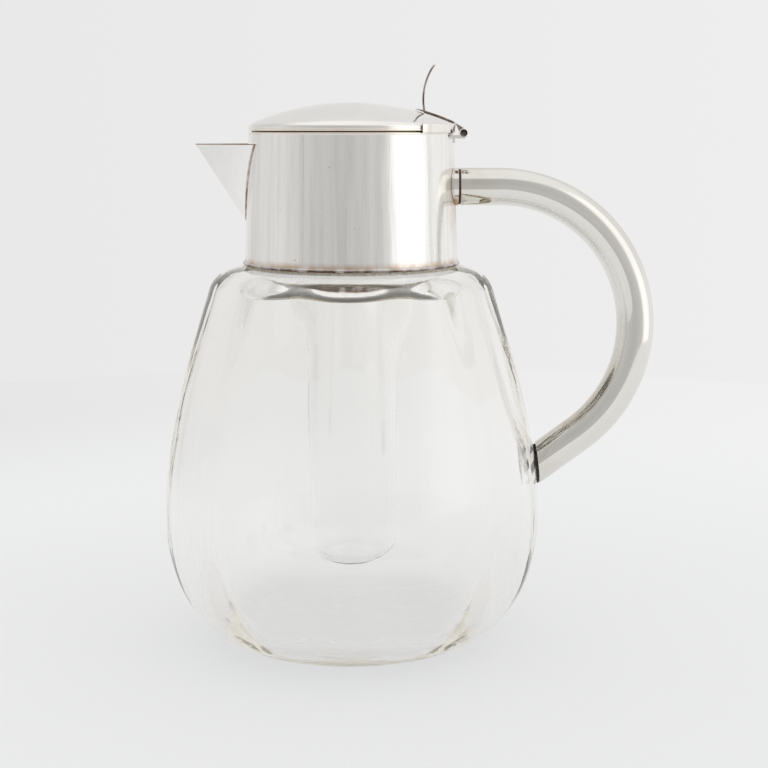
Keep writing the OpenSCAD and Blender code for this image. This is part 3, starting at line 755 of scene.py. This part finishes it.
# %% Cut the crescent of the hinge plate
plate_t = 0.35 * MM
plate_out_r = mouth_r + 0.85 * MM
plate_in_r = plate_out_r - plate_t
plate_z = foot("lid_hinge_plate")
plate_w = 20 * MM
steps_in = [plate_out_r - plate_w + plate_w * i / 12 for i in range(12)]
plate_outline = [(r, on_dome(r)) for r in steps_in + [plate_in_r]] + [(plate_in_r, plate_z)]
plate_outline += [(plate_out_r, plate_z), (plate_out_r, on_dome(plate_out_r, plate_t) - 0.2 * MM)]
plate_outline += [(plate_out_r - 0.15 * MM, on_dome(plate_out_r, plate_t))]
plate_outline += [(r, on_dome(r, plate_t)) for r in steps_in[::-1]]
hinge_plate = lathe("hinge_plate", plate_outline)
plate_front, plate_half_w = 30.8 * MM, 33 * MM
plate_side_x = math.sqrt(plate_out_r**2 - plate_half_w**2)
bow = plate_front - plate_side_x
bow_r = (plate_half_w**2 + bow**2) / (2 * bow)
deselect()
bow_place = (plate_front - bow_r, 0, mouth_z)
bpy.ops.mesh.primitive_cylinder_add(vertices=720, radius=bow_r, depth=0.1, location=bow_place)
bow_tool = bpy.context.object
bpy.ops.object.transform_apply(location=True, rotation=True, scale=True)
cut(hinge_plate, bow_tool)
finish_piece(hinge_plate, lid_silver, "lid", "lid_hinge_plate")

# %% [markdown]
# ## The hinge
# Three knuckles turn on a pin that stops short of their ends, so each end shows as a dark hole with a bright
# rim, and the dark of the hole is painted shade, black inside the bore. The strap runs from the dome down to
# the middle knuckle.

# %% Knuckles, each a short eased tube
def prism(name, outline, way):
    """A closed outline, filled and drawn out along one way."""
    piece = chain(name, list(outline) + [outline[0]])
    bpy.ops.mesh.remove_doubles(threshold=0.001 * MM)
    bpy.ops.mesh.edge_face_add()
    bpy.ops.mesh.extrude_region_move(TRANSFORM_OT_translate={"value": Vector(way)})
    close_up(merge=0.0001 * MM)
    return piece


knuckle_r, bore_r, edge = 1.9 * MM, 0.95 * MM, 0.18 * MM


def knuckle(name, y0, y1, open_end=0):
    """A tube along the hinge, with a wide shallow bore in its open end, at the back (1) or front (-1)."""
    outline = [(y0, bore_r + edge), (y0, knuckle_r - edge), (y0 + edge, knuckle_r), (y1 - edge, knuckle_r)]
    wide, deep = knuckle_r - 0.35 * MM, 1.1 * MM
    if open_end:
        outline += [(y1, knuckle_r - edge), (y1, wide), (y1 - deep, wide), (y1 - deep, bore_r)]
    else:
        outline += [(y1, knuckle_r - edge), (y1, bore_r + edge), (y1 - edge, bore_r)]
    outline += [(y0 + edge, bore_r), outline[0]]
    if open_end < 0:
        outline = [(y0 + y1 - y, r) for y, r in outline]
    chain(name, [(hinge.x, y, hinge.z + r) for y, r in outline])
    bpy.ops.mesh.spin(steps=64, angle=2 * math.pi, center=hinge, axis=(0, 1, 0))
    close_up()
    return bpy.context.object


def bore_shade_mask(net):
    """Painted shade: black inside the open ends of the knuckles, down the bore."""
    x, y, z = net.axes(net.place())
    out = ((x - hinge.x) ** 2 + (z - hinge.z) ** 2) ** 0.5
    return out.ease(knuckle_r - 0.42 * MM, knuckle_r - 0.30 * MM, 1.0, 0.0)


half_w, lid_half = radius("collar_knuckles"), radius("lid_knuckle")
gap = 0.35 * MM
ROUND_HINGE = (200, 40, 200)
# Colour of the painted shade inside the bores.
BORE_SHADE = (0.012, 0.010, 0.008, 1)
hinge_silver = silver("hinge_silver", ROUND_HINGE, film_and_shade=bead_film, amount=0.45)
knuckle_silver_bore_shade = silver("knuckle_silver_bore_shade", ROUND_HINGE, film_and_shade=bore_shade_mask, amount=2.0, dirt_and_shade=BORE_SHADE)
fixed = knuckle("fixed_knuckles", lid_half + gap, half_w, 1)
pick(fixed, knuckle("south_knuckle", -half_w, -lid_half - gap, -1))
bpy.ops.object.join()
finish_piece(fixed, knuckle_silver_bore_shade, "jug", "collar_knuckles")
middle = knuckle("lid_knuckle_tube", -lid_half, lid_half)
finish_piece(middle, hinge_silver, "lid", "lid_knuckle")

# %% The strap, from the dome to the middle knuckle
def side_edge_shade_mask(net):
    """Painted shade on the thin side edges, picked by their facing along the hinge."""
    normal = net.add("ShaderNodeNewGeometry", out=1)
    return net.axes(normal)[1].size().ease(0.5, 0.9)


# Colours of the painted shade on the side edges of the strap and the lever.
STRAP_EDGE_SHADE, LEVER_EDGE_SHADE = (0.16, 0.095, 0.07, 1), (0.16, 0.10, 0.08, 1)
strap_silver = silver("strap_silver", ROUND_HINGE, film_and_shade=side_edge_shade_mask, amount=1.2, dirt_and_shade=STRAP_EDGE_SHADE)
strap_t, strap_w, strap_nose = 0.65 * MM, 10 * MM, 3.8 * MM
lever_x = 31 * MM
strap_r = dome_r + plate_t + strap_t
leave = math.asin((plate_out_r - 1.7 * MM) / strap_r)
corner_x, corner_z = strap_r * math.sin(leave), dome_z + strap_r * math.cos(leave)
run_x, run_z = hinge.x - corner_x, hinge.z - corner_z
fall = math.atan2(-run_z, run_x) - math.asin(knuckle_r / math.hypot(run_x, run_z))
nose_angle = math.asin((lever_x - strap_nose) / strap_r)
root_angle = math.asin((plate_out_r + 0.1 * MM) / (dome_r + plate_t))


def over_dome(r, start, end, steps):
    """Points over the dome at a radius of curvature, between two angles from upright."""
    angles = [start + (end - start) * i / steps for i in range(steps + 1)]
    return [(r * math.sin(a), dome_z + r * math.cos(a)) for a in angles]


strap_side = over_dome(strap_r, nose_angle, leave, 14)
strap_side += [(hinge.x + knuckle_r * math.sin(fall), hinge.z + knuckle_r * math.cos(fall))]
strap_side += [(hinge.x, hinge.z + knuckle_r * 0.6), (hinge.x - knuckle_r * 0.9, hinge.z + 0.4 * MM)]
strap_side += over_dome(strap_r - strap_t, root_angle, nose_angle, 14)
strap = prism("hinge_strap_sheet", [(x, -strap_w / 2, z) for x, z in strap_side], (0, strap_w, 0))
nose = strap_w / 2
nose_x = lever_x - strap_nose + nose
neck_x = hinge.x - knuckle_r - 1.5 * MM
plan = arc((nose_x, 0), nose, 90, 270, 24)
plan += arc((neck_x - 1 * MM, -nose + 1 * MM), 1 * MM, -90, 0, 4)
plan += [(neck_x, -lid_half + 0.02 * MM), (neck_x + 10 * MM, -lid_half + 0.02 * MM)]
plan = plan + [(x, -y) for x, y in plan[:24:-1]]
cut(strap, prism("strap_plan", [(x, y, lid_edge_z - 5 * MM) for x, y in plan], (0, 0, 40 * MM)), "INTERSECT")
ease_edges(strap, 0.15 * MM, angle=40, segments=2)
finish_piece(strap, strap_silver, "lid", "hinge_strap")

# %% [markdown]
# ## The thumb lever
# A curved leaf that widens upwards, with round upper corners, and stands on the strap. Its arc is drawn out
# to a wide bent sheet, and the front view of the leaf is then cut from it.

# %% The lever, as a bent sheet trimmed to its shape
lever_r, lever_t, lean, tip = 24 * MM, 0.8 * MM, 11.3, 39
lever_foot_w, lever_top_w, lever_corner = 8 * MM, 13 * MM, 4 * MM
lever_centre = (
    lever_x + lever_r * math.cos(math.radians(lean)),
    dome_z + math.sqrt(strap_r**2 - lever_x**2) + lever_r * math.sin(math.radians(lean)),
)
lever_side = arc(lever_centre, lever_r + lever_t / 2, 180 + lean, 180 - tip, 36)
lever_side += arc(lever_centre, lever_r - lever_t / 2, 180 - tip, 180 + lean, 36)
lever = prism("thumb_lever_leaf", [(x, -lever_top_w, z) for x, z in lever_side], (0, 2 * lever_top_w, 0))
tip_z = lever_centre[1] + lever_r * math.sin(math.radians(tip))
lever_foot_z = lever_centre[1] - lever_r * math.sin(math.radians(lean))
shape = [(-lever_foot_w / 2, lever_foot_z - 2 * MM), (lever_foot_w / 2, lever_foot_z - 2 * MM)]
shape += arc((lever_top_w / 2 - lever_corner, tip_z - lever_corner), lever_corner, 0, 90, 10)
shape += [(-y, z) for y, z in shape[:1:-1]]
cut(lever, prism("lever_shape", [(0, y, z) for y, z in shape], (0.1, 0, 0)), "INTERSECT")
ease_edges(lever, 0.22 * MM, angle=40)
# The lever's side edges get painted shade, as the strap's do.
lever_silver = silver(
    "lever_silver", (60, 400, 60), depth=0.006 * MM, film_and_shade=side_edge_shade_mask, amount=1.2, dirt_and_shade=LEVER_EDGE_SHADE)
finish_piece(lever, lever_silver, "lid", "thumb_lever")

# %% [markdown]
# ## The handle
# A bent tube. A circle at the collar is drawn out to the bend, spun round the bend's centre and drawn out
# again to the glass, where it's cut parallel to the flank. The wall's thickness comes last, turned inwards.

# %% Draw and bend the tube
tube_rad, bend_r, bend_angle = radius("handle_tube"), 59.8 * MM, 143.5
start_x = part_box("handle_tube")[0].x
bend_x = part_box("handle_tube")[1].x - bend_r - tube_rad
bend_z = handle_z - bend_r
low_fall = math.radians(180 - bend_angle)
bend_end = (
    bend_x + bend_r * math.sin(math.radians(bend_angle)),
    bend_z + bend_r * math.cos(math.radians(bend_angle)),
)


outer_profile = [(z, r) for r, z in outside]


def outer_wall_r(z):
    return between(outer_profile, z, neck_r)


low_len = 20 * MM
clearance = 1 * MM
for _ in range(12):
    reach = bend_end[0] - outer_wall_r(bend_end[1] - low_len * math.sin(low_fall)) - clearance
    low_len = reach / math.cos(low_fall)
low_end = (bend_end[0] - low_len * math.cos(low_fall), bend_end[1] - low_len * math.sin(low_fall))
flank = [outer_wall_r(low_end[1] + side * tube_rad) for side in (-1, 1)]
glass_lean = math.atan2(flank[0] - flank[1], 2 * tube_rad)

deselect()
bpy.ops.mesh.primitive_circle_add(
    vertices=64, radius=tube_rad, location=(start_x, 0, handle_z), rotation=(0, math.pi / 2, 0))
handle = bpy.context.object
handle.name = "handle_bent_tube"
bpy.ops.object.transform_apply(location=True, rotation=True, scale=True)
bpy.ops.object.mode_set(mode="EDIT")
bpy.ops.mesh.select_all(action="SELECT")
bpy.ops.mesh.extrude_region_move(TRANSFORM_OT_translate={"value": Vector((bend_x - start_x, 0, 0))})
bpy.ops.mesh.spin(steps=90, angle=-math.radians(bend_angle), center=(bend_x, 0, bend_z), axis=(0, 1, 0))
print("handle ends at", low_end, "glass leans", math.degrees(glass_lean))
down = Vector((-math.cos(low_fall), 0, -math.sin(low_fall)))
bpy.ops.mesh.extrude_region_move(TRANSFORM_OT_translate={"value": down * (low_len + 10 * MM)})
bpy.ops.mesh.select_more()
off_glass = (math.cos(glass_lean), 0, math.sin(glass_lean))
bpy.ops.mesh.bisect(plane_co=(low_end[0], 0, low_end[1]), plane_no=off_glass, clear_inner=True)
close_up()
modify(handle, "SOLIDIFY", thickness=1 * MM, offset=-1)
ease_edges(handle, 0.25 * MM, angle=50)


def handle_film(net):
    """Tarnish at both ends of the tube, and inside its bend where fingers stop the cloth."""
    upper = net.near((start_x, 0, handle_z), 26 * MM)
    lower = net.near((low_end[0], 0, low_end[1]), 16 * MM)
    x, y, z = net.axes(net.place())
    from_centre = ((x - bend_x) ** 2 + (z - bend_z) ** 2) ** 0.5
    inside_bend = from_centre.ease(bend_r - tube_rad, bend_r - 0.5 * tube_rad, 1.0, 0.0)
    inner_side = inside_bend * z.ease(90 * MM, 130 * MM, 1.0, 0.0)
    return (upper * 0.4 + lower * 0.5 + inner_side * 0.6).at_most(1.0)


handle_silver = silver("handle_silver", (70, 320, 70), film_and_shade=handle_film, amount=0.6, base=WORN_SILVER)
finish_piece(handle, handle_silver, "jug", "handle_tube")

# %% [markdown]
# ## Pieces kept from the design
# What sits inside the collar or between larger pieces keeps the design's shape and gets its finish here.

# %% Dress the kept pieces
inner_silver = silver("inner_silver", film_and_shade=bead_film, amount=0.5)


def gap_shade_mask(net):
    """Painted shade on the top of the bezel, where it shows in the gap between lid and collar."""
    z = net.axes(net.place())[2]
    return z.ease(mouth_z - 1.6 * MM, mouth_z - 0.4 * MM)


# Colour of the painted shade in the gap between lid and collar.
GAP_SHADE = (0.10, 0.072, 0.042, 1)
bezel_silver_gap_shade = silver("bezel_silver_gap_shade", film_and_shade=gap_shade_mask, amount=3.0, dirt_and_shade=GAP_SHADE)
boss_silver = silver("boss_silver", film_and_shade=bead_film, amount=1.3, base=WORN_SILVER)
kept = {
    "plaster_bed": plaster, "hinge_pin": pin_brass, "handle_plug": raw_brass, "handle_washer": old_rubber,
    "handle_screw": raw_brass, "handle_backing_plate": raw_brass, "handle_buffer": rubber,
    "carrier_ledge": inner_silver, "insert_carrier": inner_silver, "insert_gasket": seal,
    "lid_bezel": bezel_silver_gap_shade, "hinge_leaf": hinge_silver, "handle_boss": boss_silver,
}
for node, material in kept.items():
    dress(frame["nodes"][node], material)
print("kept", len(kept), "pieces")

# %% [markdown]
# ## The studio
# The jug stands on a white sweep in a white tent. Polished silver is only what it reflects, so the tent is
# drawn in the world's shader as a brightness for each direction: white walls left and behind, a grey front
# where the room shows, a bright soft box on the right, and a bright top. The camera itself sees one pale
# grey, a little brighter to the right, and far from the jug the floor glows in the same grey, so that its
# edge doesn't show.

# %% The floor
EAST_GAIN = 0.10
BACK = (0.833, 0.833, 0.833, 1)
PAPER, FAR_PAPER, PAPER_GRAIN = (0.86, 0.86, 0.87, 1), (0.89, 0.89, 0.895, 1), (0.7, 0.7, 0.7, 1)
NEAR_GLOW = (0.875, 0.880, 0.890, 1)
floor_r, floor_drop = 750 * MM, 0.1 * MM
deselect()
bpy.ops.mesh.primitive_circle_add(
    vertices=128, radius=floor_r, fill_type="NGON", location=(0, 0, -floor_drop))
floor_piece = bpy.context.object
floor_piece.name = "studio_floor"
floor_finish = Finish("studio_floor", Roughness=0.75)
x, y, z = floor_finish.axes(floor_finish.place())
grain = floor_finish.noise((900, 900, 900), detail=3.0)
paper = floor_finish.mix_colour(y.ease(0.10, 0.22), PAPER, FAR_PAPER)
floor_finish.feed("Base Color", floor_finish.mix_colour(grain * 0.04, paper, PAPER_GRAIN))
away = (x * x + y * y) ** 0.5
west_back, east_back = ([grey * (1 + side * EAST_GAIN) for grey in BACK[:3]] + [1] for side in (-1, 1))
far_glow = floor_finish.mix_colour(x / away * 0.5 + 0.5, west_back, east_back)
away_glow = floor_finish.mix_colour(away.ease(0.25, 0.60), NEAR_GLOW, far_glow)
glow = floor_finish.add("ShaderNodeEmission", {}, {"Color": away_glow, "Strength": 1.0})
shade = Wire(floor_finish, floor_finish.shader.outputs[0])
glowing = away.ease(0.10, 0.55, 0.72, 1.0)
floor_finish.put_out("Surface", floor_finish.add("ShaderNodeMixShader", {}, {0: glowing, 1: shade, 2: glow}))
floor_piece.data.materials.append(floor_finish.material)

# %% The tent, as a brightness for each direction
world = bpy.data.worlds.new("tent")
bpy.context.scene.world = world
world.use_nodes = True
world.node_tree.nodes.clear()
tent = Net(world.node_tree)
east, north, up = tent.axes(tent.add("ShaderNodeTexCoord"))
bearing = east.sum_with("ARCTAN2", north * -1.0) * (180 / math.pi)

TOP, BRIGHTEST, SHADE_ON_LID = 0.95, 1.4, 0.07
# Brightness of the tent's walls by bearing, in degrees from the front towards the right.
WALLS = (
    (-180, 0.81), (-155, 0.80), (-130, 0.71), (-110, 0.73), (-88, 0.76), (-62, 0.66), (-36, 0.575),
    (-8, 0.55), (16, 0.60), (33, 0.65), (42, 0.74), (45, 0.98), (55, 1.25), (72, 1.30), (90, 1.12),
    (97, 0.80), (101, 0.95), (122, 0.92), (150, 0.85), (180, 0.83),
)
profile = tent.add("ShaderNodeValToRGB", {}, {0: bearing / 360 + 0.5})
ramp = profile.socket.node.color_ramp
ramp.interpolation = "LINEAR"
while len(ramp.elements) < len(WALLS):
    ramp.elements.new(0.5)
for stop, (angle, brightness) in zip(ramp.elements, WALLS):
    stop.position = angle / 360 + 0.5
    stop.color = [brightness / BRIGHTEST] * 3 + [1]
level = profile * BRIGHTEST
high = up.ease(0.70, 0.85)
level = level * (1 - high) + TOP * high
level = level * (1 - SHADE_ON_LID * up.ease(0.1, 0.3) * up.ease(0.6, 0.8, 1.0, 0.0))
WARM_WHITE = (1.0, 0.993, 0.982, 1)
walls = tent.add("ShaderNodeBackground", {}, {"Color": WARM_WHITE, "Strength": level})
plain = tent.add("ShaderNodeBackground", {}, {"Color": BACK, "Strength": 1.0 + east * EAST_GAIN})
seen = tent.add("ShaderNodeLightPath")
sky = tent.add("ShaderNodeMixShader", {}, {0: seen, 1: walls, 2: plain})
world_output = world.node_tree.nodes.new("ShaderNodeOutputWorld")
world.node_tree.links.new(sky.socket, world_output.inputs["Surface"])
bpy.context.scene.view_settings.view_transform = "Standard"

# Light crosses four walls of thick glass and runs along inside them. Too few bounces turn its edges black.
BOUNCES = 48
for kind in ("max_bounces", "transmission_bounces", "glossy_bounces"):
    setattr(bpy.context.scene.cycles, kind, BOUNCES)
